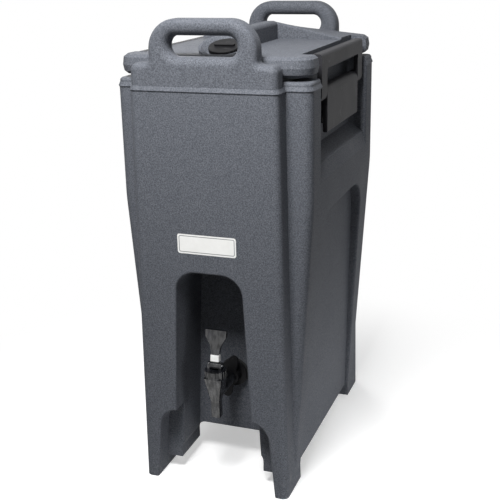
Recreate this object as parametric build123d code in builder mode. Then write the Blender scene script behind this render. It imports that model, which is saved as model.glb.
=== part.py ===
"""Insulated beverage dispenser: double-walled body, vented lid, two side latches and a tap."""
import os
from math import cos, radians, sin

from build123d import *

os.makedirs("parts", exist_ok=True)

# Body. The front faces -Y, the latches sit on the -X and +X sides.
height = 619.0
depth = 378.0
body_width = 255.0
base_inset = 26.0
column_width = 191.0
column_base_width = 206.0
setback = 29.0
ledge_drop = 86.0
bend_drop = 141.0
bend_radius = 260.0
corner_radius = 12.0
column_corner = 8.0
ledge_inset = 1.0
bead_out = 1.2
bead_height = 7.0
bead_round = 2.0
rim_height = 12.0
rim_radius = 4.0
wall = 5.0

# Handle towers on the two columns
tower_drop = 52.0
tower_thickness = 28.0
tower_corner = 9.0
handle_width = 138.5
handle_corner = 36.0
handle_root = 5.0
grip_width = 88.5
grip_height = 25.0
grip_bar = 19.5
grip_corner = 12.0
handle_round = 8.0
grip_round = 10.5

# Underside: leg arches, tunnel between the skirts, and feet
leg_gap_base = 170.0
leg_gap_top = 151.0
leg_gap_height = 106.5
leg_gap_corner = 28.0
leg_gap_depth = 28.0
tunnel_width = 120.0
tunnel_height = 47.0
tunnel_corner = 12.0
foot_height = 20.0
foot_length = 60.0

# Sunk panel on each side, and the tap recess in the front column
panel_drop = 163.5
panel_sink = 16.0
panel_base_sink = 4.0
panel_top_gap = 55.0
panel_base_gap = 30.5
panel_corner = 48.0
recess_top = 305.5
recess_width = 88.0
recess_base_width = 118.0
recess_corner = 28.0
recess_depth = 85.0
soft_edge = 3.0

# Tank and insulation
tank_wall = 3.5
tank_side_gap = 11.0
tank_end_gap = 24.5
tank_taper = 12.0
tank_floor = 104.0
tank_step_rise = 22.0
tank_bend_rise = 60.0
tank_corner = 20.0
foam_gap = 14.0
flange_thickness = 2.0
flange_overlap = 10.0

# Lid
lid_clear = 4.5
lid_thickness = 24.0
lid_corner = 22.0
lid_inset = 2.0
lid_top_bevel = 3.5
lid_top_inset = 5.0
lid_lean = 1.5
lid_band = 7.5
lid_band_inset = 1.5
lid_undercut = 3.5
lid_undercut_inset = 4.0
lid_margin = 1.0
lid_top_wall = 10.5
plug_depth = 25.0
plug_wall = 3.5
plug_clear = 3.0
seal_gap = 0.3
gasket_width = 9.0
crown_rise = 25.5
crown_rear_rise = 11.5
crown_width = 230.0
crown_length = 84.0
crown_end_gap = 10.0
crown_apex = 60.0
grip_rib_width = 22.0
grip_rib_height = 24.5
grip_rib_gap = 10.0
grip_rib_round = 6.0

# Vent
vent_front_gap = 50.0
vent_tilt = 19.0
vent_rise = 9.0
vent_boss = 66.0
vent_rim = 60.0
vent_floor = 46.0
vent_depth = 7.0
vent_cap_width = 42.0
vent_cap_height = 4.0
vent_bore = 12.0
vent_sleeve_wall = 2.5
vent_stem_length = 30.0
vent_seal_height = 1.7
vent_seal_width = 8.0
vent_grip_width = 7.0
vent_grip_height = 2.5
run_clear = 0.08
part_clear = 0.4

# Latches
latch_end_gap = 57.0
latch_arm = 24.5
latch_plate = 6.0
latch_sink = 3.5
latch_bar_height = 19.0
hinge_radius = 5.0
hinge_sink = 6.5
hinge_inset = 14.0
hinge_pin = 4.0
hinge_pin_grip = 6.0
notch_end_gap = 17.0
notch_swing_gap = 5.5
lever_pivot_drop = 46.0
lever_radius = 9.0
lever_length = 49.0
lever_side_gap = 1.0
lever_pin = 5.0
lever_lip_reach = 7.1
lever_lip_drop = 30.0
lever_lip = 4.0
lever_lip_length = 60.0
pocket_end_gap = 14.0
pocket_depth = 24.5
pocket_floor_drop = 81.0
pocket_sill_drop = 95.5
pocket_lip_drop = 116.0
pocket_corner = 10.0
keeper_plate = 2.5
keeper_length = 70.0
keeper_height = 34.0
keeper_drop = 29.0
keeper_bar = 5.0
keeper_bar_drop = 22.5
screw_head = 8.0
screw_head_height = 1.6
screw_shank = 4.0
screw_length = 4.0
screw_spacing = 50.0
screw_drop = 9.0

# Label
label_width = 79.0
label_height = 25.5
label_rise = 39.0
label_thickness = 0.9
label_corner = 3.0

# Tap
tap_front = 15.0
tap_top = 159.0
tap_width = 26.0
tap_taper_end = 123.0
spout_width = 13.0
spout_end = 101.0
spout_bore = 9.0
tap_corner = 3.0
chamber_bore = 12.0
chamber_floor = 129.0
shank_height = 135.0
arm_width = 18.0
arm_length = 49.0
shank_width = 16.0
shank_bore = 9.0
bonnet_width = 30.0
bonnet_height = 10.0
bonnet_rib = 2.0
bonnet_rib_count = 20
bonnet_top_wall = 1.5
ear_thickness = 3.0
pivot_rise = 15.5
hub_radius = 5.0
hub_width = 12.8
tap_pin = 3.0
pin_overhang = 0.6
tap_lever_lean = 9.5
tap_lever_length = 48.0
tap_lever_thickness = 5.0
neck_width = 10.0
throat_width = 15.0
throat_rise = 27.0
paddle_width = 29.0
paddle_rise = 39.0
collar_width = 11.5
collar_height = 8.5
collar_thickness = 8.0
collar_rise = 6.0
stem_width = 4.4
stem_length = 30.0
cup_width = 11.0
cup_height = 7.0
cup_gap = 0.4
spring_radius = 4.1
spring_wire = 0.9
spring_turns = 7
washer_width = 40.0
washer_thickness = 3.0
nut_flange_width = 38.0
nut_flange = 3.5
nut_hub_width = 24.0
nut_hub_length = 13.0
wing_reach = 31.0
wing_width = 13.0
wing_thickness = 4.5
wing_turn = 12.0
inner_washer_width = 30.0
inner_washer_thickness = 2.5
inner_nut_width = 26.0
inner_nut_length = 8.0
shank_end = 2.0

# Places worked out from the sizes above
ledge_height = height - ledge_drop
tower_top = height - tower_drop
bend_height = ledge_height - bend_drop
panel_top = ledge_height - panel_drop
pocket_floor = ledge_height - pocket_floor_drop
pocket_sill = ledge_height - pocket_sill_drop
pocket_lip = ledge_height - pocket_lip_drop
rim_top = ledge_height + rim_height
half_depth = depth / 2
half_width = body_width / 2
base_width = body_width - 2 * base_inset
belly_width = base_width - 2 * panel_base_sink - 4 * wall
shoulder_y = half_depth - setback
panel_top_length = 2 * (shoulder_y - panel_top_gap)
panel_base_length = 2 * (shoulder_y - panel_base_gap)
latch_length = 2 * (shoulder_y - latch_end_gap)
label_centre = recess_top + label_rise
tower_front = half_depth - ledge_inset
tower_back = tower_front - tower_thickness
grip_top = height - grip_bar
recess_back = half_depth - recess_depth
pocket_wall = half_width - pocket_depth
tank_width = 2 * (pocket_wall - tank_side_gap)
tank_base_width = tank_width - 2 * tank_taper
tank_depth = 2 * (shoulder_y - tank_end_gap)
tank_step = recess_top + tank_step_rise
tank_bend = tank_step + tank_bend_rise
lid_bottom = rim_top + lid_clear
lid_top = lid_bottom + lid_thickness
lid_half_length = shoulder_y - lid_margin
vent_y = vent_front_gap - lid_half_length
tank_top = rim_top + flange_thickness
mouth_width = tank_width - 2 * tank_wall
mouth_depth = tank_depth - 2 * tank_wall
tank_front = recess_back - wall - foam_gap
hinge_x = half_width - hinge_inset
hinge_z = lid_top - hinge_sink
latch_face = half_width - latch_sink
latch_back = latch_face - latch_plate
notch_half = latch_length / 2 + notch_end_gap
notch_wall = hinge_x - hinge_radius - notch_swing_gap
notch_floor = hinge_z - hinge_radius - part_clear
pivot_x = latch_face - lever_radius
pivot_z = hinge_z - lever_pivot_drop
pocket_half = latch_length / 2 + pocket_end_gap
tap_y = -half_depth + tap_front
pivot_height = tap_top + pivot_rise


# Outer skin: wide middle, columns in front and behind, rim, bead and the two handle towers
with BuildPart() as side_panel:
    with BuildSketch(Plane.XZ.offset(shoulder_y)):
        Polygon(
            (base_width / 2 - panel_base_sink, 0),
            (half_width - panel_sink, panel_top),
            (half_width + wall, panel_top),
            (half_width + wall, 0),
            align=None,
        )
    extrude(amount=-2 * shoulder_y)
    with BuildSketch(Plane.YZ):
        Polygon(
            (-panel_base_length / 2, 0),
            (panel_base_length / 2, 0),
            (panel_top_length / 2, panel_top),
            (-panel_top_length / 2, panel_top),
            align=None,
        )
        fillet(vertices().group_by(Axis.Y)[-1], panel_corner)
    extrude(amount=half_width + wall, mode=Mode.INTERSECT)

with BuildPart() as latch_pocket:
    with BuildSketch(Plane.XZ.offset(pocket_half)):
        Polygon(
            (pocket_wall, height),
            (pocket_wall, pocket_floor),
            (half_width - wall, pocket_sill),
            (half_width, pocket_lip),
            (half_width + wall, pocket_lip),
            (half_width + wall, height),
            align=None,
        )
    extrude(amount=-2 * pocket_half)
    fillet(edges().filter_by(Axis.Z).group_by(Axis.X)[0], pocket_corner)


def on_panel_rim(edge):
    """Whether an edge is the outline of a side panel where it meets the sloping side."""
    place = edge.center()
    skin = (base_width + (body_width - base_width) * place.Z / bend_height) / 2
    inside = abs(place.Y) < panel_base_length / 2 and soft_edge < place.Z < panel_top + soft_edge
    return inside and abs(abs(place.X) - skin) < soft_edge


with BuildPart() as middle:
    with BuildSketch(Plane.XZ.offset(shoulder_y)):
        with BuildLine():
            Polyline(
                (base_width / 2, 0), (half_width, bend_height), (half_width, ledge_height), (0, ledge_height)
            )
            Line((0, 0), (base_width / 2, 0))
            Line((0, 0), (0, ledge_height))
        make_face()
        fillet(vertices().filter_by_position(Axis.Y, bend_height - 1, bend_height + 1), bend_radius)
        mirror(about=Plane.YZ)
    extrude(amount=-2 * shoulder_y)
    fillet(edges().filter_by(Axis.Y, reverse=True).filter_by(Axis.X, reverse=True), corner_radius)
    for cut in (side_panel, latch_pocket):
        add(cut.part, mode=Mode.SUBTRACT)
        mirror(cut.part, about=Plane.YZ, mode=Mode.SUBTRACT)
    panel_edges = edges().filter_by(on_panel_rim)
    fillet(panel_edges, soft_edge)
    pocket_edges = edges().filter_by(Axis.Z).filter_by(lambda edge: abs(edge.center().X) > half_width - 1)
    fillet(pocket_edges, soft_edge)

with BuildPart() as column:
    with BuildSketch(Plane.XZ.offset(half_depth)):
        Polygon(
            (-column_base_width / 2, 0),
            (column_base_width / 2, 0),
            (column_width / 2, ledge_height),
            (-column_width / 2, ledge_height),
            align=None,
        )
    extrude(amount=panel_base_length / 2 - half_depth)
    upright = edges().filter_by(Axis.Y, reverse=True).filter_by(Axis.X, reverse=True)
    fillet(upright.group_by(Axis.Y)[0], column_corner)


def on_grip(edge):
    """Whether an edge borders a handle's grip hole."""
    place = edge.center()
    return abs(place.X) < grip_width / 2 + 1 and -1 < grip_top - place.Z < grip_height + 1


with BuildPart() as tower:
    with BuildSketch(Plane.XZ.offset(tower_front)):
        with Locations((0, (ledge_height + tower_top) / 2)):
            Rectangle(column_width - 2 * ledge_inset, tower_top - ledge_height)
        fillet(vertices().group_by(Axis.Y)[-1], tower_corner)
        with Locations((0, (ledge_height + height) / 2)):
            Rectangle(handle_width, height - ledge_height)
        fillet(vertices().group_by(Axis.Y)[-1], handle_corner)
        root = vertices().filter_by_position(Axis.X, -handle_width / 2 - 1, handle_width / 2 + 1)
        fillet(root.filter_by_position(Axis.Y, tower_top - 1, tower_top + 1), handle_root)
        with Locations((0, grip_top - grip_height / 2)):
            RectangleRounded(grip_width, grip_height, grip_corner, mode=Mode.SUBTRACT)
    extrude(amount=-tower_thickness)
    outline = faces().filter_by(Axis.Y).edges().filter_by_position(Axis.Z, ledge_height + 1, height)
    fillet(outline.filter_by(on_grip, reverse=True), handle_round)
    fillet(faces().filter_by(Axis.Y).edges().filter_by(on_grip), grip_round)

with BuildPart() as leg_arch:
    with BuildSketch(Plane.XZ.offset(half_depth)):
        Polygon(
            (-leg_gap_base / 2, 0),
            (leg_gap_base / 2, 0),
            (leg_gap_top / 2, leg_gap_height),
            (-leg_gap_top / 2, leg_gap_height),
            align=None,
        )
        fillet(vertices().group_by(Axis.Y)[-1], leg_gap_corner)
    extrude(amount=-leg_gap_depth)

with BuildPart() as tap_recess:
    with BuildSketch(Plane.XZ.offset(half_depth)):
        Polygon(
            (-recess_base_width / 2, 0),
            (recess_base_width / 2, 0),
            (recess_width / 2, recess_top),
            (-recess_width / 2, recess_top),
            align=None,
        )
        fillet(vertices().group_by(Axis.Y)[-1], recess_corner)
    extrude(amount=-recess_depth)

with BuildPart() as tunnel:
    with BuildSketch(Plane.XZ.offset(half_depth)):
        with Locations((0, tunnel_height / 2)):
            Rectangle(tunnel_width, tunnel_height)
        fillet(vertices().group_by(Axis.Y)[-1], tunnel_corner)
    extrude(amount=-depth)
    with Locations((0, 0, foot_height / 2)):
        Box(leg_gap_base, depth - 2 * leg_gap_depth, foot_height)
        Box(body_width, depth - 2 * foot_length, foot_height)
    belly_front = wall - recess_back
    belly_back = half_depth - foot_length
    with Locations((0, (belly_front + belly_back) / 2, tunnel_height / 2)):
        Box(belly_width, belly_back - belly_front, tunnel_height)


def tank_shape(inset):
    """The tank as a solid, drawn in by an even inset on its sides and floor."""
    with BuildPart() as shape:
        with BuildSketch(Plane.XZ.offset(tank_front - inset)):
            Polygon(
                (-tank_base_width / 2 + inset, tank_floor + inset),
                (tank_base_width / 2 - inset, tank_floor + inset),
                (tank_width / 2 - inset, tank_bend),
                (-tank_width / 2 + inset, tank_bend),
                align=None,
            )
        extrude(amount=2 * inset - tank_front - tank_depth / 2)
        fillet(edges().filter_by(Axis.Y, reverse=True).filter_by(Axis.X, reverse=True), tank_corner - inset)
        with BuildSketch(Plane.XY.offset(tank_step + inset)):
            RectangleRounded(tank_width - 2 * inset, tank_depth - 2 * inset, tank_corner - inset)
        extrude(amount=rim_top - tank_step - inset)
    return shape.part


with BuildPart() as rim:
    with BuildSketch(Plane.XY.offset(ledge_height)):
        RectangleRounded(
            body_width - 2 * ledge_inset, 2 * (shoulder_y - ledge_inset), corner_radius - ledge_inset
        )
    extrude(amount=rim_height)
    fillet(edges().group_by(Axis.Z)[-1], rim_radius)
    add(latch_pocket.part, mode=Mode.SUBTRACT)
    mirror(latch_pocket.part, about=Plane.YZ, mode=Mode.SUBTRACT)
    with BuildSketch(Plane.XY.offset(ledge_height)):
        Rectangle(column_width - 2 * ledge_inset - 2 * handle_round, 2 * tower_front - tower_thickness)
    extrude(amount=rim_height)

with BuildPart() as bead:
    for width, length, corner in (
        (body_width, 2 * shoulder_y, corner_radius),
        (column_width, depth, column_corner),
    ):
        for rise, out in ((0, 0), (bead_round, bead_out), (bead_height, -ledge_inset)):
            with BuildSketch(Plane.XY.offset(ledge_height + rise)):
                RectangleRounded(width + 2 * out, length + 2 * out, corner + out)
        loft(ruled=True)
    add(latch_pocket.part, mode=Mode.SUBTRACT)
    mirror(latch_pocket.part, about=Plane.YZ, mode=Mode.SUBTRACT)

with BuildPart() as foam_space:
    with BuildSketch(Plane.XZ.offset(recess_back - wall)):
        Polygon(
            (-base_width / 2 + panel_base_sink + wall, tunnel_height + wall),
            (base_width / 2 - panel_base_sink - wall, tunnel_height + wall),
            (half_width - panel_sink - wall, panel_top),
            (half_width - panel_sink - wall, panel_top + wall),
            (half_width - 2 * wall, panel_top + wall),
            (half_width - 2 * wall, pocket_lip - wall),
            (pocket_wall - wall, pocket_sill - wall),
            (pocket_wall - wall, ledge_height - wall),
            (-pocket_wall + wall, ledge_height - wall),
            (-pocket_wall + wall, pocket_sill - wall),
            (-half_width + 2 * wall, pocket_lip - wall),
            (-half_width + 2 * wall, panel_top + wall),
            (-half_width + panel_sink + wall, panel_top + wall),
            (-half_width + panel_sink + wall, panel_top),
            align=None,
        )
    extrude(amount=2 * wall - recess_back - shoulder_y)
    with BuildSketch(Plane.XY.offset(recess_top + wall)):
        with Locations((0, (wall - shoulder_y) / 2)):
            Rectangle(2 * (pocket_wall - wall), shoulder_y - wall)
        with Locations((0, -(pocket_half + half_depth) / 2)):
            Rectangle(column_width - 4 * wall, half_depth - pocket_half - 2 * wall)
    extrude(amount=ledge_height - 2 * wall - recess_top)
    with BuildSketch(Plane.XY.offset(leg_gap_height + wall)):
        with Locations((0, (pocket_half + half_depth) / 2)):
            Rectangle(column_width - 4 * wall, half_depth - pocket_half - 2 * wall)
    extrude(amount=ledge_height - 2 * wall - leg_gap_height)

with BuildPart() as keeper_screw_holes:
    for turn in (-1, 1):
        with BuildSketch(Plane.YZ.offset(turn * pocket_wall)):
            with Locations((0, pivot_z - keeper_drop - screw_drop)):
                with GridLocations(screw_spacing, 1, 2, 1):
                    Circle(screw_shank / 2)
        extrude(amount=-turn * screw_length)

with BuildPart() as shank_hole:
    with BuildSketch(Plane.XZ.offset(half_depth)):
        with Locations((0, shank_height)):
            Circle(shank_width / 2 + run_clear)
    extrude(amount=-half_depth)


def on_leg_outline(edge):
    """Whether an edge of the front or rear face borders the tap recess or a leg arch."""
    place = edge.center()
    return abs(place.X) < leg_gap_base / 2 and soft_edge < place.Z < recess_top + soft_edge


with BuildPart() as skin:
    add(middle.part)
    add(column.part)
    mirror(column.part, about=Plane.XZ)
    add(rim.part)
    add(bead.part)
    add(tower.part)
    mirror(tower.part, about=Plane.XZ)
    add(leg_arch.part, mode=Mode.SUBTRACT)
    mirror(leg_arch.part, about=Plane.XZ, mode=Mode.SUBTRACT)
    add(tap_recess.part, mode=Mode.SUBTRACT)
    rims = faces().filter_by(Axis.Y).group_by(Axis.Y)
    inner = (rims[0].edges() + rims[-1].edges()).filter_by(on_leg_outline)
    fillet(inner, soft_edge)
    for cut in (tunnel, foam_space, keeper_screw_holes, shank_hole):
        add(cut.part, mode=Mode.SUBTRACT)
    with BuildSketch(Plane.XY.offset(rim_top)):
        RectangleRounded(tank_width, tank_depth, tank_corner)
    extrude(amount=-rim_height - wall, mode=Mode.SUBTRACT)
    with BuildSketch(Plane.XZ.offset(half_depth)):
        with Locations((0, label_centre)):
            RectangleRounded(label_width, label_height, label_corner)
    extrude(amount=-label_thickness, mode=Mode.SUBTRACT)

# The skin is one moulding. It is written as touching pieces, so that each piece keeps a simple form.
tank_end = tank_depth / 2
head_base = recess_top - recess_corner
head_top = recess_top + wall
floor_top = tunnel_height + wall
arch_top = leg_gap_height + wall
ahead = -half_depth - wall
behind = half_depth + wall
across = (-half_width - wall, half_width + wall)
left = (-half_width - wall, 0)
right = (0, half_width + wall)
for name, span_x, span_y, span_z in (
    ("shell_front_handle", across, (ahead, -tower_back), (ledge_height, height)),
    ("shell_rear_handle", across, (tower_back, behind), (ledge_height, height)),
    ("shell_rim", across, (-tower_back, tower_back), (ledge_height, height)),
    ("shell_front_column", across, (ahead, -tank_end), (head_top, ledge_height)),
    ("shell_rear_column", across, (tank_end, behind), (arch_top, ledge_height)),
    ("shell_side_upper_left", left, (-tank_end, tank_end), (head_top, ledge_height)),
    ("shell_side_upper_right", right, (-tank_end, tank_end), (head_top, ledge_height)),
    ("shell_recess_head", across, (ahead, -recess_back), (head_base, head_top)),
    ("shell_front_leg_left", left, (ahead, -recess_back), (0, head_base)),
    ("shell_front_leg_right", right, (ahead, -recess_back), (0, head_base)),
    ("shell_tap_wall", across, (-recess_back, wall - recess_back), (floor_top, head_top)),
    ("shell_side_lower_left", left, (wall - recess_back, tank_end), (floor_top, head_top)),
    ("shell_side_lower_right", right, (wall - recess_back, tank_end), (floor_top, head_top)),
    ("shell_floor", across, (-recess_back, tank_end), (tunnel_height, floor_top)),
    ("shell_rear_arch", across, (tank_end, behind), (tunnel_height, arch_top)),
    ("shell_skirt_left", left, (-recess_back, behind), (0, tunnel_height)),
    ("shell_skirt_right", right, (-recess_back, behind), (0, tunnel_height)),
):
    with BuildPart() as share:
        add(skin.part)
        with Locations((sum(span_x) / 2, sum(span_y) / 2, sum(span_z) / 2)):
            Box(
                span_x[1] - span_x[0], span_y[1] - span_y[0], span_z[1] - span_z[0], mode=Mode.INTERSECT
            )
    share.part.label = name
    export_step(share.part, f"parts/{name}.step")

# Insulation and the drink tank
with BuildPart() as foam_fill:
    add(foam_space.part)
    add(tank_shape(0), mode=Mode.SUBTRACT)
    with BuildSketch(Plane.XY.offset(ledge_height - wall)):
        RectangleRounded(tank_width, tank_depth, tank_corner)
    extrude(amount=-wall, mode=Mode.SUBTRACT)
    add(shank_hole.part, mode=Mode.SUBTRACT)
foam_fill.part.label = "foam_fill"
export_step(foam_fill.part, "parts/foam_fill.step")

with BuildPart() as tank:
    add(tank_shape(0))
    with BuildSketch(Plane.XY.offset(rim_top)):
        RectangleRounded(
            tank_width + 2 * flange_overlap, tank_depth + 2 * flange_overlap, tank_corner + flange_overlap
        )
    extrude(amount=flange_thickness)
    add(tank_shape(tank_wall), mode=Mode.SUBTRACT)
    with BuildSketch(Plane.XY.offset(rim_top)):
        RectangleRounded(mouth_width, mouth_depth, tank_corner - tank_wall)
    extrude(amount=flange_thickness, mode=Mode.SUBTRACT)
    add(shank_hole.part, mode=Mode.SUBTRACT)

# The tank is one moulding too, written as its narrow lower part and its wide upper part.
for name, base, top in (("tank_lower", tank_floor, tank_step), ("tank_upper", tank_step, tank_top)):
    with BuildPart() as share:
        add(tank.part)
        with Locations((0, 0, (base + top) / 2)):
            Box(body_width, depth, top - base, mode=Mode.INTERSECT)
    share.part.label = name
    export_step(share.part, f"parts/{name}.step")

with BuildPart() as label_plate:
    with BuildSketch(Plane.XZ.offset(half_depth)):
        with Locations((0, label_centre)):
            RectangleRounded(label_width, label_height, label_corner)
    extrude(amount=-label_thickness)
label_plate.part.label = "label_plate"
export_step(label_plate.part, "parts/label_plate.step")


# Lid: shell with a crowned rear, a grip rib, side notches for the latches and a sunk vent
crown_front = lid_half_length - crown_end_gap - crown_length
plug_bottom = lid_bottom - plug_depth
plug_width = mouth_width - 2 * plug_clear
plug_length = mouth_depth - 2 * plug_clear
vent_lean = radians(vent_tilt)
vent_plane = Plane(
    origin=(0, vent_y, lid_top + vent_rise), x_dir=(1, 0, 0), z_dir=(0, -sin(vent_lean), cos(vent_lean))
)
sleeve_end = (lid_top + vent_rise - plug_bottom) / cos(vent_lean) + vent_sleeve_wall

with BuildPart() as lid_crown:
    foot = crown_width / 2
    for place, rise in ((crown_front, crown_rise), (crown_front + crown_length, crown_rear_rise)):
        with BuildSketch(Plane.XZ.offset(-place)):
            Polygon((-foot, lid_top), (foot, lid_top), (0, lid_top + rise), align=None)
            fillet(vertices().group_by(Axis.Y)[-1], crown_apex)
    loft()
    brow = faces().sort_by(Axis.Y)[0].edges()
    fillet(brow.filter_by_position(Axis.Z, lid_top + 1, height), soft_edge)

rib_front = vent_y + vent_boss / 2 + grip_rib_gap
with BuildPart() as grip_rib:
    with BuildSketch(Plane.YZ.offset(-grip_rib_width / 2)):
        Polygon(
            (rib_front, lid_top),
            (crown_front, lid_top),
            (crown_front, lid_top + grip_rib_height),
            (rib_front + grip_rib_height, lid_top + grip_rib_height),
            align=None,
        )
    extrude(amount=grip_rib_width)
    crest = edges().filter_by(Axis.Y).group_by(Axis.Z)[-1]
    fillet(crest, grip_rib_round)

with BuildPart() as vent_seat:
    with BuildSketch(vent_plane):
        Circle(vent_boss / 2)
    extrude(amount=-vent_boss / 2)
    with Locations((0, vent_y, lid_top + vent_boss / 2 - lid_top_wall / 2)):
        Box(2 * vent_boss, 2 * vent_boss, vent_boss, mode=Mode.INTERSECT)

with BuildPart() as vent_hollow:
    with BuildSketch(vent_plane):
        Circle(vent_rim / 2)
    with BuildSketch(vent_plane.offset(-vent_depth)):
        Circle(vent_floor / 2)
    loft()
    with BuildSketch(vent_plane):
        Circle(vent_rim / 2)
    extrude(amount=vent_depth)

with BuildPart() as sleeve_hole:
    with BuildSketch(vent_plane):
        Circle(vent_bore / 2 + vent_sleeve_wall)
    extrude(amount=-sleeve_end)

with BuildPart() as latch_notch:
    with BuildSketch(Plane.XZ.offset(notch_half)):
        Polygon(
            (notch_wall, height),
            (notch_wall, hinge_z),
            (hinge_x - hinge_radius - part_clear, hinge_z),
            (hinge_x - hinge_radius - part_clear, notch_floor),
            (latch_back - part_clear, notch_floor),
            (latch_back - part_clear, lid_bottom),
            (half_width + wall, lid_bottom),
            (half_width + wall, height),
            align=None,
        )
    extrude(amount=-2 * notch_half)
    with BuildSketch(Plane.XZ.offset(notch_half + hinge_pin_grip)):
        with Locations((hinge_x, hinge_z)):
            Circle(hinge_pin / 2)
    extrude(amount=-2 * (notch_half + hinge_pin_grip))

with BuildPart() as lid_shell:
    for level, inset in (
        (lid_bottom, lid_band_inset + lid_undercut_inset),
        (lid_bottom + lid_undercut, lid_band_inset),
        (lid_bottom + lid_undercut + lid_band, 0),
        (lid_top - lid_top_bevel, lid_lean),
        (lid_top, lid_lean + lid_top_inset),
    ):
        with BuildSketch(Plane.XY.offset(level)):
            RectangleRounded(
                body_width - 2 * (lid_inset + inset), 2 * (lid_half_length - inset), lid_corner - inset
            )
    loft(ruled=True)
    for raised in (lid_crown, grip_rib, vent_seat):
        add(raised.part)
    add(latch_notch.part, mode=Mode.SUBTRACT)
    mirror(latch_notch.part, about=Plane.YZ, mode=Mode.SUBTRACT)
    with BuildSketch(Plane.XY.offset(lid_bottom)):
        RectangleRounded(plug_width - 2 * plug_wall, plug_length - 2 * plug_wall, tank_corner - 2 * plug_wall)
    extrude(amount=lid_thickness - lid_top_wall, mode=Mode.SUBTRACT)
    for cut in (vent_hollow, sleeve_hole):
        add(cut.part, mode=Mode.SUBTRACT)
lid_shell.part.label = "lid_shell"
export_step(lid_shell.part, "parts/lid_shell.step")

with BuildPart() as lid_pan:
    with BuildSketch(Plane.XY.offset(plug_bottom)):
        RectangleRounded(plug_width, plug_length, tank_corner - plug_wall)
    extrude(amount=plug_depth)
    with BuildSketch(Plane.XY.offset(plug_bottom + plug_wall)):
        RectangleRounded(plug_width - 2 * plug_wall, plug_length - 2 * plug_wall, tank_corner - 2 * plug_wall)
    extrude(amount=plug_depth - plug_wall, mode=Mode.SUBTRACT)
    add(sleeve_hole.part, mode=Mode.SUBTRACT)
lid_pan.part.label = "lid_pan"
export_step(lid_pan.part, "parts/lid_pan.step")

with BuildPart() as lid_foam:
    with BuildSketch(Plane.XY.offset(plug_bottom + plug_wall)):
        RectangleRounded(plug_width - 2 * plug_wall, plug_length - 2 * plug_wall, tank_corner - 2 * plug_wall)
    extrude(amount=plug_depth - plug_wall + lid_thickness - lid_top_wall)
    add(sleeve_hole.part, mode=Mode.SUBTRACT)
lid_foam.part.label = "lid_foam"
export_step(lid_foam.part, "parts/lid_foam.step")

with BuildPart() as lid_gasket:
    with BuildSketch(Plane.XY.offset(tank_top + seal_gap)):
        RectangleRounded(tank_width + gasket_width, tank_depth + gasket_width, tank_corner + gasket_width / 2)
        RectangleRounded(
            tank_width - gasket_width + plug_wall,
            tank_depth - gasket_width + plug_wall,
            tank_corner - gasket_width / 2 + plug_wall / 2,
            mode=Mode.SUBTRACT,
        )
    extrude(amount=lid_bottom - tank_top - seal_gap)
lid_gasket.part.label = "lid_gasket"
export_step(lid_gasket.part, "parts/lid_gasket.step")

with BuildPart() as vent_sleeve:
    with BuildSketch(vent_plane.offset(-vent_depth)):
        Circle(vent_bore / 2 + vent_sleeve_wall)
        Circle(vent_bore / 2, mode=Mode.SUBTRACT)
    extrude(amount=vent_depth - sleeve_end)
vent_sleeve.part.label = "vent_sleeve"
export_step(vent_sleeve.part, "parts/vent_sleeve.step")

cap_plane = vent_plane.offset(seal_gap + vent_seal_height - vent_depth)
with BuildPart() as vent_cap:
    with BuildSketch(cap_plane):
        Circle(vent_cap_width / 2)
    extrude(amount=vent_cap_height)
    fillet(edges().filter_by(GeomType.CIRCLE).sort_by(Axis.Z)[-1], vent_cap_height / 4)
    with BuildSketch(cap_plane.offset(vent_cap_height)):
        SlotOverall(vent_cap_width - 2 * vent_grip_width, vent_grip_width)
    extrude(amount=vent_grip_height)
    with BuildSketch(cap_plane):
        Circle(vent_bore / 2 - run_clear)
    extrude(amount=-vent_stem_length)
vent_cap.part.label = "vent_cap"
export_step(vent_cap.part, "parts/vent_cap.step")

with BuildPart() as vent_seal:
    with BuildSketch(cap_plane):
        Circle(vent_bore / 2 + vent_sleeve_wall + vent_seal_width)
        Circle(vent_bore / 2 + vent_sleeve_wall, mode=Mode.SUBTRACT)
    extrude(amount=-vent_seal_height)
vent_seal.part.label = "vent_seal"
export_step(vent_seal.part, "parts/vent_seal.step")


# Latches: a frame hinged in the lid's notch and a lever between its arms, made for +X and mirrored
lever_half = latch_length / 2 - latch_arm - lever_side_gap
with BuildPart() as latch_frame:
    with BuildSketch(Plane.XZ.offset(latch_length / 2)):
        with Locations((hinge_x, hinge_z)):
            Circle(hinge_radius)
        Polygon(
            (hinge_x, hinge_z),
            (latch_back, hinge_z),
            (latch_back, hinge_z + hinge_radius - latch_bar_height),
            (latch_face, hinge_z + hinge_radius - latch_bar_height),
            (latch_face, hinge_z + hinge_radius),
            (hinge_x, hinge_z + hinge_radius),
            align=None,
        )
        corner = vertices().filter_by_position(Axis.X, latch_face - 1, latch_face + 1)
        fillet(corner.group_by(Axis.Y)[-1], hinge_radius - 1)
    extrude(amount=-latch_length)
    for end in (-1, 1):
        with BuildSketch(Plane.XZ.offset(end * latch_length / 2)):
            with Locations(((latch_back + latch_face) / 2, (hinge_z + pivot_z) / 2)):
                Rectangle(latch_plate, lever_pivot_drop)
            with Locations((pivot_x, pivot_z)):
                Circle(lever_radius)
        extrude(amount=-end * latch_arm)
    with BuildSketch(Plane.XZ.offset(latch_length / 2)):
        with Locations((hinge_x, hinge_z)):
            Circle(hinge_pin / 2 + run_clear)
        with Locations((pivot_x, pivot_z)):
            Circle(lever_pin / 2)
    extrude(amount=-latch_length, mode=Mode.SUBTRACT)

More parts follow.
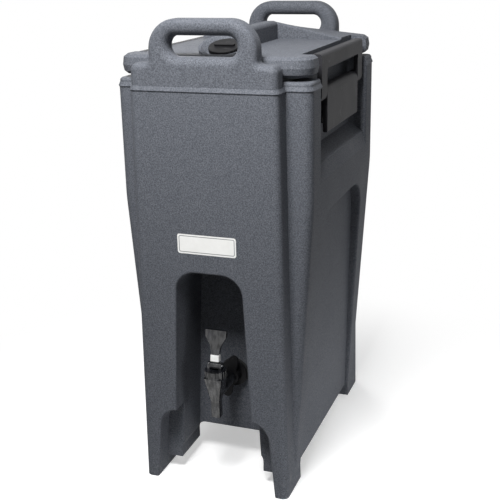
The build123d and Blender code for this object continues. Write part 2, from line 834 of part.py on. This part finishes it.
with BuildPart() as latch_lever:
    with BuildSketch(Plane.XZ.offset(lever_half)):
        with Locations((pivot_x, pivot_z)):
            Circle(lever_radius)
        with Locations(((latch_back + latch_face) / 2, pivot_z - lever_length / 2)):
            Rectangle(latch_plate, lever_length)
    extrude(amount=-2 * lever_half)
    fillet(edges().group_by(Axis.Z)[0].filter_by(Axis.Y), latch_plate / 3)
    with BuildSketch(Plane.YZ.offset(latch_back)):
        with Locations((0, pivot_z - lever_lip_drop)):
            Rectangle(lever_lip_length, lever_lip)
    extrude(amount=-lever_lip_reach)
    with BuildSketch(Plane.XZ.offset(lever_half)):
        with Locations((pivot_x, pivot_z)):
            Circle(lever_pin / 2 + run_clear)
    extrude(amount=-2 * lever_half, mode=Mode.SUBTRACT)

with BuildPart() as latch_pin:
    with BuildSketch(Plane.XZ.offset(latch_length / 2)):
        with Locations((pivot_x, pivot_z)):
            Circle(lever_pin / 2)
    extrude(amount=-latch_length)

with BuildPart() as lid_hinge_pin:
    with BuildSketch(Plane.XZ.offset(notch_half + hinge_pin_grip)):
        with Locations((hinge_x, hinge_z)):
            Circle(hinge_pin / 2)
    extrude(amount=-2 * (notch_half + hinge_pin_grip))

with BuildPart() as keeper:
    with BuildSketch(Plane.YZ.offset(pocket_wall)):
        with Locations((0, pivot_z - keeper_drop)):
            RectangleRounded(keeper_length, keeper_height, soft_edge)
    extrude(amount=keeper_plate)
    with BuildSketch(Plane.YZ.offset(pocket_wall + keeper_plate)):
        with Locations((0, pivot_z - keeper_bar_drop)):
            Rectangle(lever_lip_length, keeper_bar)
    extrude(amount=keeper_bar)
    with BuildSketch(Plane.YZ.offset(pocket_wall)):
        with Locations((0, pivot_z - keeper_drop - screw_drop)):
            with GridLocations(screw_spacing, 1, 2, 1):
                Circle(screw_shank / 2)
    extrude(amount=keeper_plate, mode=Mode.SUBTRACT)

for name, piece in (
    ("latch_frame", latch_frame),
    ("latch_lever", latch_lever),
    ("latch_pin", latch_pin),
    ("lid_hinge_pin", lid_hinge_pin),
    ("keeper", keeper),
):
    with BuildPart() as left_piece:
        mirror(piece.part, about=Plane.YZ)
    for side, solid in (("right", piece.part), ("left", left_piece.part)):
        solid.label = f"{name}_{side}"
        export_step(solid, f"parts/{name}_{side}.step")

with BuildPart() as keeper_screws:
    for turn in (-1, 1):
        with BuildSketch(Plane.YZ.offset(turn * (pocket_wall + keeper_plate))):
            with Locations((0, pivot_z - keeper_drop - screw_drop)):
                with GridLocations(screw_spacing, 1, 2, 1):
                    Circle(screw_head / 2)
        extrude(amount=turn * screw_head_height)
        with BuildSketch(Plane.YZ.offset(turn * (pocket_wall + keeper_plate))):
            with Locations((0, pivot_z - keeper_drop - screw_drop)):
                with GridLocations(screw_spacing, 1, 2, 1):
                    Circle(screw_shank / 2)
        extrude(amount=-turn * (keeper_plate + screw_length))
keeper_screws.part.label = "keeper_screws"
export_step(keeper_screws.part, "parts/keeper_screws.step")


# Tap: body with spout and shank, screwed cap, lever on a cross pin, sprung stem and its seat
nut_face = recess_back + washer_thickness
shank_back = tank_front - tank_wall - inner_washer_thickness - inner_nut_length - shank_end
with BuildPart() as tap_body:
    for level, width in ((tap_top, tap_width), (tap_taper_end, spout_width)):
        with BuildSketch(Plane.XY.offset(level)):
            with Locations((0, tap_y)):
                RectangleRounded(width, width, tap_corner)
    loft()
    with BuildSketch(Plane.XY.offset(spout_end)):
        with Locations((0, tap_y)):
            RectangleRounded(spout_width, spout_width, tap_corner)
    extrude(amount=tap_taper_end - spout_end)
    with BuildSketch(Plane.XZ.offset(-tap_y)):
        with Locations((0, shank_height)):
            Circle(arm_width / 2)
    extrude(amount=-arm_length)
    with BuildSketch(Plane.XZ.offset(-tap_y)):
        with Locations((0, shank_height)):
            Circle(shank_width / 2)
    extrude(amount=tap_y + shank_back)
    with BuildSketch(Plane.XZ.offset(-tap_y)):
        with Locations((0, shank_height)):
            Circle(shank_bore / 2)
    extrude(amount=tap_y + shank_back, mode=Mode.SUBTRACT)
    with BuildSketch(Plane.XY.offset(chamber_floor)):
        with Locations((0, tap_y)):
            Circle(chamber_bore / 2)
    extrude(amount=tap_top - chamber_floor, mode=Mode.SUBTRACT)
    with BuildSketch(Plane.XY.offset(spout_end)):
        with Locations((0, tap_y)):
            Circle(spout_bore / 2)
    extrude(amount=chamber_floor - spout_end, mode=Mode.SUBTRACT)
tap_body.part.label = "tap_body"
export_step(tap_body.part, "parts/tap_body.step")

ear_inner = hub_width / 2 + part_clear / 2
with BuildPart() as tap_bonnet:
    with BuildSketch(Plane.XY.offset(tap_top)):
        with Locations((0, tap_y)):
            Circle((bonnet_width - bonnet_rib) / 2)
            with PolarLocations((bonnet_width - bonnet_rib) / 2, bonnet_rib_count):
                Circle(bonnet_rib / 2)
    extrude(amount=bonnet_height)
    for end in (-1, 1):
        with BuildSketch(Plane.YZ.offset(end * ear_inner)):
            with Locations((tap_y, pivot_height)):
                Circle(hub_radius)
            with Locations((tap_y, (pivot_height + tap_top + bonnet_height) / 2)):
                Rectangle(2 * hub_radius, pivot_height - tap_top - bonnet_height)
        extrude(amount=end * ear_thickness)
    with BuildSketch(Plane.YZ.offset(-bonnet_width / 2)):
        with Locations((tap_y, pivot_height)):
            Circle(tap_pin / 2)
    extrude(amount=bonnet_width, mode=Mode.SUBTRACT)
    with BuildSketch(Plane.XY.offset(tap_top)):
        with Locations((0, tap_y)):
            Circle(chamber_bore / 2)
    extrude(amount=bonnet_height - bonnet_top_wall, mode=Mode.SUBTRACT)
tap_bonnet.part.label = "tap_bonnet"
export_step(tap_bonnet.part, "parts/tap_bonnet.step")

pin_half = ear_inner + ear_thickness + pin_overhang
with BuildPart() as tap_lever_pin:
    with BuildSketch(Plane.YZ.offset(-pin_half)):
        with Locations((tap_y, pivot_height)):
            Circle(tap_pin / 2)
    extrude(amount=2 * pin_half)
tap_lever_pin.part.label = "tap_lever_pin"
export_step(tap_lever_pin.part, "parts/tap_lever_pin.step")

lean = radians(tap_lever_lean)
lever_plane = Plane(origin=(0, tap_y, pivot_height), x_dir=(1, 0, 0), z_dir=(0, -cos(lean), sin(lean)))
with BuildPart() as tap_lever:
    with BuildSketch(Plane.YZ.offset(-hub_width / 2)):
        with Locations((tap_y, pivot_height)):
            Circle(hub_radius)
    extrude(amount=hub_width)
    with BuildSketch(lever_plane.offset(tap_lever_thickness / 2)):
        Polygon(
            (-neck_width / 2, 0),
            (neck_width / 2, 0),
            (neck_width / 2, collar_rise + collar_height),
            (throat_width / 2, throat_rise),
            (paddle_width / 2, paddle_rise),
            (paddle_width / 2, tap_lever_length),
            (-paddle_width / 2, tap_lever_length),
            (-paddle_width / 2, paddle_rise),
            (-throat_width / 2, throat_rise),
            (-neck_width / 2, collar_rise + collar_height),
            align=None,
        )
        fillet(vertices().filter_by_position(Axis.Y, throat_rise - 1, throat_rise + 1), throat_width)
    extrude(amount=-tap_lever_thickness)
    with BuildSketch(Plane.YZ.offset(-hub_width / 2)):
        with Locations((tap_y, pivot_height)):
            Circle(tap_pin / 2 + run_clear)
    extrude(amount=hub_width, mode=Mode.SUBTRACT)
tap_lever.part.label = "tap_lever"
export_step(tap_lever.part, "parts/tap_lever.step")

with BuildPart() as lever_collar:
    with BuildSketch(lever_plane.offset(collar_thickness / 2)):
        with Locations((0, collar_rise + collar_height / 2)):
            Rectangle(collar_width, collar_height)
    extrude(amount=-collar_thickness)
    with BuildSketch(lever_plane.offset(tap_lever_thickness / 2)):
        with Locations((0, collar_rise + collar_height / 2)):
            Rectangle(neck_width, collar_height)
    extrude(amount=-tap_lever_thickness, mode=Mode.SUBTRACT)
lever_collar.part.label = "lever_collar"
export_step(lever_collar.part, "parts/lever_collar.step")

cup_base = chamber_floor + cup_gap
cup_socket = cup_base + cup_height / 2
with BuildPart() as valve_stem:
    with BuildSketch(Plane.XY.offset(cup_socket)):
        with Locations((0, tap_y)):
            Circle(stem_width / 2)
    extrude(amount=stem_length)
valve_stem.part.label = "valve_stem"
export_step(valve_stem.part, "parts/valve_stem.step")

with BuildPart() as seat_cup:
    with BuildSketch(Plane.XY.offset(cup_base)):
        with Locations((0, tap_y)):
            Circle(cup_width / 2)
    extrude(amount=cup_height)
    with BuildSketch(Plane.XY.offset(cup_socket)):
        with Locations((0, tap_y)):
            Circle(stem_width / 2)
    extrude(amount=cup_height / 2, mode=Mode.SUBTRACT)
seat_cup.part.label = "seat_cup"
export_step(seat_cup.part, "parts/seat_cup.step")

spring_base = cup_base + cup_height + spring_wire / 2
spring_height = tap_top + bonnet_height - bonnet_top_wall - spring_wire / 2 - spring_base
with BuildPart() as tap_spring:
    with BuildLine() as coil:
        Helix(spring_height / spring_turns, spring_height, spring_radius, center=(0, tap_y, spring_base))
    with BuildSketch(Plane(origin=coil.line @ 0, z_dir=coil.line % 0)):
        Circle(spring_wire / 2)
    sweep()
tap_spring.part.label = "tap_spring"
export_step(tap_spring.part, "parts/tap_spring.step")

with BuildPart() as outer_washer:
    with BuildSketch(Plane.XZ.offset(recess_back)):
        with Locations((0, shank_height)):
            Circle(washer_width / 2)
            Circle(shank_width / 2, mode=Mode.SUBTRACT)
    extrude(amount=washer_thickness)
outer_washer.part.label = "outer_washer"
export_step(outer_washer.part, "parts/outer_washer.step")

with BuildPart() as wing_nut:
    with BuildSketch(Plane.XZ.offset(nut_face)):
        with Locations((0, shank_height)):
            Circle(nut_flange_width / 2)
    extrude(amount=nut_flange)
    with BuildSketch(Plane.XZ.offset(nut_face + nut_flange)):
        with Locations((0, shank_height)):
            Circle(nut_hub_width / 2)
    extrude(amount=nut_hub_length)
    with BuildSketch(Plane.XZ.offset(nut_face + nut_flange + nut_hub_length)):
        with Locations(Location((0, shank_height), 90 - wing_turn)):
            SlotOverall(2 * wing_reach, wing_width)
    extrude(amount=-wing_thickness)
    with BuildSketch(Plane.XZ.offset(nut_face)):
        with Locations((0, shank_height)):
            Circle(shank_width / 2)
    extrude(amount=nut_flange + nut_hub_length, mode=Mode.SUBTRACT)
wing_nut.part.label = "wing_nut"
export_step(wing_nut.part, "parts/wing_nut.step")

with BuildPart() as inner_washer:
    with BuildSketch(Plane.XZ.offset(tank_front - tank_wall)):
        with Locations((0, shank_height)):
            Circle(inner_washer_width / 2)
            Circle(shank_width / 2, mode=Mode.SUBTRACT)
    extrude(amount=-inner_washer_thickness)
inner_washer.part.label = "inner_washer"
export_step(inner_washer.part, "parts/inner_washer.step")

with BuildPart() as inner_nut:
    with BuildSketch(Plane.XZ.offset(tank_front - tank_wall - inner_washer_thickness)):
        with Locations((0, shank_height)):
            RegularPolygon(inner_nut_width / 2, 6, major_radius=False)
            Circle(shank_width / 2, mode=Mode.SUBTRACT)
    extrude(amount=-inner_nut_length)
inner_nut.part.label = "inner_nut"
export_step(inner_nut.part, "parts/inner_nut.step")
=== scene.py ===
"""Insulated beverage dispenser: finishes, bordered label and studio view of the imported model."""
import math

import bpy
from mathutils import Matrix, Vector


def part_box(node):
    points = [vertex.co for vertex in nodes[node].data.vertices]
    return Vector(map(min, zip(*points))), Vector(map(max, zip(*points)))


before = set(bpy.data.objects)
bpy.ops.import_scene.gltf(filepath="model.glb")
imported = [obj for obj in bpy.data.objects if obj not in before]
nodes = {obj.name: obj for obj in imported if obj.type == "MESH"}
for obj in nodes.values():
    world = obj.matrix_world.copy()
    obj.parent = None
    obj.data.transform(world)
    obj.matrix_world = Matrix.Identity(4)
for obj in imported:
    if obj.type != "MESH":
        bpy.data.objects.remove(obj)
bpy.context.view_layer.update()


# Outer shell: one rotomoulded polyethylene skin, with the handles and the legs moulded in.
# The resin is a granite mix of grey, blue-grey and pale grains, and comes out of the mould
# satin and pebbled. The feet are scuffed pale where the dispenser is set down.
class Wire:
    """A socket of a node tree; sums, differences and products of wires add Math nodes."""

    def __init__(self, wiring, socket):
        self.wiring = wiring
        self.socket = socket

    def maths(self, operation, first, second):
        return self.wiring.node("ShaderNodeMath", {"operation": operation}, {0: first, 1: second})

    def __add__(self, other):
        return self.maths("ADD", self, other)

    def __radd__(self, other):
        return self.maths("ADD", other, self)

    def __sub__(self, other):
        return self.maths("SUBTRACT", self, other)

    def __rsub__(self, other):
        return self.maths("SUBTRACT", other, self)

    def __mul__(self, other):
        return self.maths("MULTIPLY", self, other)

    def __rmul__(self, other):
        return self.maths("MULTIPLY", other, self)


class Wiring:
    """A node tree, and the one method that adds a node to it."""

    def __init__(self, tree):
        self.tree = tree

    def node(self, kind, settings, sockets, output=0):
        made = self.tree.nodes.new(kind)
        for name, value in settings.items():
            setattr(made, name, value)
        for name, value in sockets.items():
            if isinstance(value, Wire):
                self.tree.links.new(value.socket, made.inputs[name])
            else:
                made.inputs[name].default_value = value
        return Wire(self, made.outputs[output])


class Finish(Wiring):
    """A named material with its principled shader, and the patterns that finishes share."""

    def __init__(self, name, **constants):
        self.material = bpy.data.materials.new(name)
        self.material.use_nodes = True
        super().__init__(self.material.node_tree)
        self.shader = self.tree.nodes["Principled BSDF"]
        for socket, value in constants.items():
            self.shader.inputs[socket.replace("_", " ")].default_value = value

    def feed(self, **wires):
        for socket, wire in wires.items():
            self.tree.links.new(wire.socket, self.shader.inputs[socket.replace("_", " ")])

    def place(self):
        """Object coordinates, in metres."""
        return self.node("ShaderNodeTexCoord", {}, {}, "Object")

    def noise(self, place, per_metre, detail=2.0, rough=0.5):
        sockets = {"Vector": place, "Scale": per_metre, "Detail": detail, "Roughness": rough}
        return self.node("ShaderNodeTexNoise", {}, sockets, "Fac")

    def fade(self, value, none, full):
        """0 at none and before it, 1 at full and past it, smooth between; full may be the smaller."""
        settings = {"interpolation_type": "SMOOTHSTEP", "clamp": True}
        return self.node("ShaderNodeMapRange", settings, {"Value": value, "From Min": none, "From Max": full})

    def blend(self, share, first, second):
        """The first colour, with a share of the second laid over it."""
        settings = {"data_type": "RGBA", "blend_type": "MIX"}
        return self.node("ShaderNodeMix", settings, {"Factor": share, 6: first, 7: second}, 2)

    def pebble(self, height, strength, depth):
        """A bumpy surface, with its depth in metres."""
        return self.node("ShaderNodeBump", {}, {"Strength": strength, "Distance": depth, "Height": height})


def dress(finish, *names):
    """Gives CAD nodes a finish."""
    for name in names:
        mesh = nodes[name].data
        mesh.materials.clear()
        mesh.materials.append(finish.material)


def shade(red, green, blue):
    """A colour by its screen levels, 11 to 255, as the linear one that a shader takes."""
    return (*[((level / 255 + 0.055) / 1.055) ** 2.4 for level in (red, green, blue)], 1.0)


dark_resin = shade(74, 77, 83)
light_resin = shade(106, 109, 116)
fleck_colour, fleck_share = shade(156, 158, 164), 0.30
pit_colour, pit_share = shade(52, 54, 59), 0.35
cloud_colour, cloud_share = shade(73, 77, 85), 0.16
scuff_colour, scuff_share = shade(150, 151, 154), 0.45
scuff_reach = 0.05
satin, cloud_dulling, grain_dulling = 0.44, 0.16, 0.12
pebble_share = 0.6
granite = Finish("granite_polyethylene", Specular_IOR_Level=0.06)
place = granite.place()
grain = granite.noise(place, per_metre=620.0, detail=3.0, rough=0.65)
fleck = granite.fade(granite.noise(place, per_metre=1150.0, detail=1.0), none=0.56, full=0.68)
pit = granite.fade(granite.noise(place, per_metre=900.0, detail=1.0), none=0.42, full=0.30)
cloud = granite.noise(place, per_metre=14.0, detail=3.0)
ground = granite.blend(granite.fade(grain, none=0.30, full=0.70), dark_resin, light_resin)
ground = granite.blend(fleck_share * fleck, ground, fleck_colour)
ground = granite.blend(pit_share * pit, ground, pit_colour)
ground = granite.blend(cloud_share * cloud, ground, cloud_colour)
height_above_floor = granite.node("ShaderNodeSeparateXYZ", {}, {0: place}, "Z")
scuff_zone = 1.0 - granite.fade(height_above_floor, none=0.0, full=scuff_reach)
scuff_marks = granite.noise(place, per_metre=95.0, detail=4.0, rough=0.7)
scuff = scuff_zone * granite.fade(scuff_marks, none=0.52, full=0.72)
pebbles = granite.noise(place, per_metre=260.0)
granite.feed(
    Base_Color=granite.blend(scuff_share * scuff, ground, scuff_colour),
    Roughness=satin + cloud_dulling * cloud + grain_dulling * grain,
    Normal=granite.pebble(grain + pebble_share * pebbles, strength=0.35, depth=0.0006),
)
dress(granite, *[name for name in nodes if name.startswith("shell_")])


# Insulation: rigid cream foam, blown in place between the skin and the tank and inside the lid.
# It sticks to both walls as it sets, and doesn't show once the dispenser is closed up.
foam_shade = shade(214, 201, 162)
foam_light = shade(240, 231, 200)
foam = Finish("cream_foam", Roughness=0.9)
place = foam.place()
cells = foam.noise(place, per_metre=300.0, detail=3.0)
foam.feed(
    Base_Color=foam.blend(cells, foam_shade, foam_light),
    Normal=foam.pebble(cells, strength=0.6, depth=0.001),
)
dress(foam, "foam_fill", "lid_foam")


# Tank liner, lid pan and vent sleeve: smooth moulded polyethylene on the drink's side.
# It is the same resin as the skin with a smoother face, faintly cloudy in tone and sheen.
liner_dark = shade(88, 91, 98)
liner_light = shade(118, 121, 128)
cloud_part, grain_part = 0.6, 0.4
liner_smooth, liner_dulling = 0.30, 0.18
liner = Finish("smooth_polyethylene", Specular_IOR_Level=0.45)
place = liner.place()
cloud = liner.noise(place, per_metre=22.0, detail=4.0)
grain = liner.noise(place, per_metre=700.0)
liner.feed(
    Base_Color=liner.blend(cloud_part * cloud + grain_part * grain, liner_dark, liner_light),
    Roughness=liner_smooth + liner_dulling * cloud,
    Normal=liner.pebble(grain, strength=0.12, depth=0.0003),
)
dress(liner, "tank_lower", "tank_upper", "lid_pan", "vent_sleeve")


# Label: a small white plastic plate in a shallow seat on the front column.
# It is printed with a thin grey frame with rounded corners, and is bare inside it.
frame_inset = 0.0024
frame_line = 0.0006
frame_corner = 0.002
plate_shade = shade(236, 236, 233)
plate_light = shade(249, 249, 247)
ink_colour = shade(120, 122, 126)
plate_smooth, plate_dulling = 0.30, 0.15
label_low, label_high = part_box("label_plate")
label_middle = (label_low + label_high) / 2
half_width = (label_high.x - label_low.x) / 2 - frame_inset - frame_corner
half_height = (label_high.z - label_low.z) / 2 - frame_inset - frame_corner
label = Finish("printed_label", Specular_IOR_Level=0.5)
place = label.place()
from_middle = label.node("ShaderNodeVectorMath", {"operation": "SUBTRACT"}, {0: place, 1: label_middle})
across = label.node("ShaderNodeSeparateXYZ", {}, {0: from_middle}, "X")
upward = label.node("ShaderNodeSeparateXYZ", {}, {0: from_middle}, "Z")


def beyond(wire, half):
    """How far a place lies outside a half width, never less than nothing."""
    size = label.node("ShaderNodeMath", {"operation": "ABSOLUTE"}, {0: wire})
    return label.node("ShaderNodeMath", {"operation": "MAXIMUM"}, {0: size - half, 1: 0.0})


over_x = beyond(across, half_width)
over_z = beyond(upward, half_height)
reach = label.node("ShaderNodeMath", {"operation": "SQRT"}, {0: over_x * over_x + over_z * over_z})
off_line = label.node("ShaderNodeMath", {"operation": "ABSOLUTE"}, {0: reach - frame_corner})
ink = 1.0 - label.fade(off_line, none=frame_line / 2, full=frame_line)
mottle = label.noise(place, per_metre=120.0, detail=4.0)
label.feed(
    Base_Color=label.blend(ink, label.blend(mottle, plate_shade, plate_light), ink_colour),
    Roughness=plate_smooth + plate_dulling * mottle,
    Normal=label.pebble(mottle, strength=0.05, depth=0.0002),
)
dress(label, "label_plate")


# Lid: a rotomoulded cover of the same granite resin, with a low crown towards the rear.
# It is filled with foam and closed by the pan below, and the side latches hold it down.
dress(granite, "lid_shell")


# Seals: black rubber rings under the lid and the vent cap, and washers at the tap's shank.
# The cup in the tap's valve is rubber too. All are moulded, and held by what they seal.
rubber_dark = shade(28, 28, 29)
rubber_dusty = shade(52, 52, 53)
rubber_dull, dust_dulling = 0.70, 0.2
rubber = Finish("black_rubber")
place = rubber.place()
dust = rubber.noise(place, per_metre=180.0, detail=4.0)
rubber.feed(
    Base_Color=rubber.blend(dust, rubber_dark, rubber_dusty),
    Roughness=rubber_dull + dust_dulling * dust,
    Normal=rubber.pebble(rubber.noise(place, per_metre=900.0), strength=0.2, depth=0.0003),
)
dress(rubber, "lid_gasket", "vent_seal", "outer_washer", "inner_washer", "seat_cup")


# Latches: moulded charcoal nylon frames and levers, and the keeper plates they catch on.
# Handling has polished the levers a little and left pale rubbing marks.
nylon_dark = shade(44, 44, 47)
nylon_light = shade(54, 54, 57)
rub_colour, rub_share = shade(90, 90, 93), 0.25
nylon_satin, nylon_dulling, rub_polish = 0.42, 0.14, 0.08
nylon = Finish("charcoal_nylon", Specular_IOR_Level=0.05)
place = nylon.place()
texture = nylon.noise(place, per_metre=1400.0)
rub = nylon.fade(nylon.noise(place, per_metre=60.0, detail=5.0, rough=0.7), none=0.55, full=0.75)
cloud = nylon.noise(place, per_metre=30.0, detail=3.0)
nylon.feed(
    Base_Color=nylon.blend(rub_share * rub, nylon.blend(cloud, nylon_dark, nylon_light), rub_colour),
    Roughness=nylon_satin + nylon_dulling * cloud - rub_polish * rub,
    Normal=nylon.pebble(texture, strength=0.2, depth=0.0002),
)
dress(
    nylon,
    "latch_frame_left", "latch_frame_right", "latch_lever_left", "latch_lever_right",
    "keeper_left", "keeper_right",
)


# Vent cap and the tap's nuts: black nylon mouldings, screwed on and off by hand.
# Hot drinks and wiping have dulled them, and thin bright streaks are painted on as glints.
knob_dark = shade(20, 20, 21)
knob_bloom = shade(34, 34, 36)
glint_colour, glint_share = shade(120, 120, 122), 0.4
knob_smooth, bloom_dulling = 0.34, 0.2


def streaks(finish, place, per_metre, detail, rough=0.5):
    """Noise with its own count per metre along x, y and z, drawn out where that is small."""
    drawn = finish.node("ShaderNodeMapping", {}, {"Vector": place, "Scale": per_metre})
    return finish.noise(drawn, 1.0, detail, rough)


knob = Finish("black_nylon", Specular_IOR_Level=0.1)
place = knob.place()
bloom = knob.noise(place, per_metre=130.0, detail=4.0)
# Painted glints: thin bright streaks in the base colour stand in for highlights on the black.
glint_streaks = streaks(knob, place, per_metre=(90.0, 1500.0, 300.0), detail=2.0)
painted_glint = knob.fade(glint_streaks, none=0.66, full=0.74)
knob.feed(
    Base_Color=knob.blend(
        glint_share * painted_glint, knob.blend(bloom, knob_dark, knob_bloom), glint_colour
    ),
    Roughness=knob_smooth + bloom_dulling * bloom,
    Normal=knob.pebble(bloom, strength=0.1, depth=0.0002),
)
dress(knob, "vent_cap", "wing_nut", "inner_nut")


# Pins, screws, the valve stem and its spring: turned and drawn stainless steel.
# The pins are pressed in where latches and lever swing, and the screws hold the keepers.
steel_dark = shade(178, 179, 182)
steel_light = shade(206, 207, 210)
steel_smooth, line_dulling = 0.22, 0.2
steel = Finish("drawn_steel", Metallic=1.0)
place = steel.place()
draw_lines = streaks(steel, place, per_metre=(900.0, 40.0, 900.0), detail=3.0)
steel.feed(
    Base_Color=steel.blend(draw_lines, steel_dark, steel_light),
    Roughness=steel_smooth + line_dulling * draw_lines,
    Normal=steel.pebble(draw_lines, strength=0.08, depth=0.0001),
)
dress(
    steel,
    "lid_hinge_pin_left", "lid_hinge_pin_right", "latch_pin_left", "latch_pin_right",
    "keeper_screws", "tap_lever_pin", "valve_stem", "tap_spring",
)


# Tap: a body, bonnet and lever of glossy black moulded plastic, fixed through the front wall.
# Faint finger marks dull it in places, and the moulding has left flow streaks down its length.
tap_dark = shade(15, 16, 19)
tap_smudged = shade(29, 30, 35)
tap_smooth, smudge_dulling = 0.14, 0.22
gloss = Finish("gloss_black_plastic", Specular_IOR_Level=0.55)
place = gloss.place()
smudge = gloss.fade(gloss.noise(place, per_metre=70.0, detail=4.0, rough=0.6), none=0.45, full=0.75)
ripple = streaks(gloss, place, per_metre=(260.0, 260.0, 70.0), detail=3.0, rough=0.6)
gloss.feed(
    Base_Color=gloss.blend(smudge, tap_dark, tap_smudged),
    Roughness=tap_smooth + smudge_dulling * smudge,
    Coat_Weight=gloss.fade(ripple, none=0.38, full=0.62),
    Normal=gloss.pebble(ripple, strength=0.45, depth=0.0016),
)
dress(gloss, "tap_body", "tap_bonnet", "tap_lever")


# Lever collar: a white plastic block, moulded smooth and clipped round the tap lever's neck.
# It moves with the lever, and its white is a little warmer in patches.
collar_warm = shade(232, 232, 229)
collar_white = shade(250, 250, 249)
collar_smooth, tint_dulling = 0.25, 0.15
white = Finish("white_plastic", Specular_IOR_Level=0.5)
place = white.place()
tint = white.noise(place, per_metre=150.0, detail=3.0)
white.feed(
    Base_Color=white.blend(tint, collar_warm, collar_white),
    Roughness=collar_smooth + tint_dulling * tint,
    Normal=white.pebble(tint, strength=0.08, depth=0.0002),
)
dress(white, "lever_collar")


# Studio: a wide floor under a pale sky, with a softbox high at the front and weaker ones low at
# the right and behind. The camera and reflections see the floor shaded near the object and
# white farther out, and the sky white. Light that bounces on meets a grey floor and a dim sky.
floor_size = 60.0
floor_grey = (0.30, 0.30, 0.30, 1.0)
floor_pale = (0.8, 0.8, 0.8, 1.0)
pure_white = (1.0, 1.0, 1.0, 1.0)
near_glow = 0.45
white_level = 1.0
haze_level = 0.17
shaded_to, white_from = 0.25, 0.60


def in_view(wiring):
    """1 for rays of the camera, of reflections and through clear pieces, 0 for the others."""
    kinds = ("Is Camera Ray", "Is Glossy Ray", "Is Transmission Ray")
    camera_ray, glossy_ray, clear_ray = [wiring.node("ShaderNodeLightPath", {}, {}, kind) for kind in kinds]
    return camera_ray + glossy_ray + clear_ray


def show(wiring, wire, output):
    """Makes a shader the one that the floor or the sky shows."""
    wiring.tree.links.new(wire.socket, wiring.tree.nodes[output].inputs["Surface"])


bpy.ops.mesh.primitive_plane_add(size=floor_size)
floor = bpy.context.object
floor.name = "studio_floor"
paving = Finish("studio_floor", Roughness=0.9, Specular_IOR_Level=0.0, Base_Color=floor_grey)
out_from_object = paving.node("ShaderNodeVectorMath", {"operation": "LENGTH"}, {0: paving.place()}, "Value")
far = paving.fade(out_from_object, none=shaded_to, full=white_from)
pale = paving.node("ShaderNodeBsdfDiffuse", {}, {"Color": floor_pale})
glow = paving.node("ShaderNodeEmission", {}, {"Color": pure_white, "Strength": near_glow})
white_glow = paving.node("ShaderNodeEmission", {}, {"Color": pure_white, "Strength": white_level})
near_floor = paving.node("ShaderNodeAddShader", {}, {0: pale, 1: glow})
lit_floor = paving.node("ShaderNodeMixShader", {}, {0: far, 1: near_floor, 2: white_glow})
plain_floor = Wire(paving, paving.shader.outputs[0])
both_floors = paving.node("ShaderNodeMixShader", {}, {0: in_view(paving), 1: plain_floor, 2: lit_floor})
show(paving, both_floors, "Material Output")
floor.data.materials.append(paving.material)

sky = bpy.data.worlds.new("studio_sky")
sky.use_nodes = True
sky.node_tree.nodes.remove(sky.node_tree.nodes["Background"])
air = Wiring(sky.node_tree)
haze = air.node("ShaderNodeBackground", {}, {"Color": pure_white, "Strength": haze_level})
backdrop = air.node("ShaderNodeBackground", {}, {"Color": pure_white, "Strength": white_level})
show(air, air.node("ShaderNodeMixShader", {}, {0: in_view(air), 1: haze, 2: backdrop}), "World Output")
bpy.context.scene.world = sky


def softbox(name, place, target, size, power, spread):
    """A square lamp with a honeycomb that narrows its beam, facing a place on the object."""
    lamp = bpy.data.lights.new(name, "AREA")
    lamp.size = size
    lamp.energy = power
    lamp.spread = math.radians(spread)
    holder = bpy.data.objects.new(name, lamp)
    holder.location = place
    holder.rotation_euler = (Vector(place) - Vector(target)).to_track_quat("Z", "Y").to_euler()
    bpy.context.collection.objects.link(holder)


softbox("key", (0.05, -0.70, 1.27), target=(0.0, -0.12, 0.60), size=0.36, power=8.4, spread=120.0)
softbox("low_fill", (0.90, -0.45, 0.10), target=(0.10, 0.0, -0.05), size=0.3, power=0.35, spread=45.0)
softbox("rear_fill", (-0.75, 1.10, 0.40), target=(0.0, 0.10, 0.32), size=0.6, power=5.0, spread=120.0)


# Camera: at the photograph's angle, place and focal length, on a square picture.
# They come from a pinhole camera that was fitted to corner points of the object.
turn = math.radians(20.56)
rise = math.radians(18.09)
roll = math.radians(-1.24)
picture = 500
focal_pixels = 923.7
camera_place = Vector((0.4353, -1.1954, 0.6955))
back = Vector((math.sin(turn) * math.cos(rise), -math.cos(turn) * math.cos(rise), math.sin(rise)))
level = Vector((math.cos(turn), math.sin(turn), 0.0))
upright = back.cross(level)
right = math.cos(roll) * level + math.sin(roll) * upright
top = math.cos(roll) * upright - math.sin(roll) * level
lens = bpy.data.cameras.new("studio_camera")
lens.sensor_fit = "HORIZONTAL"
lens.lens = focal_pixels / picture * lens.sensor_width
camera = bpy.data.objects.new("studio_camera", lens)
camera.matrix_world = Matrix.Translation(camera_place) @ Matrix((right, top, back)).transposed().to_4x4()
bpy.context.collection.objects.link(camera)
bpy.context.scene.camera = camera
bpy.context.scene.view_settings.view_transform = "Standard"
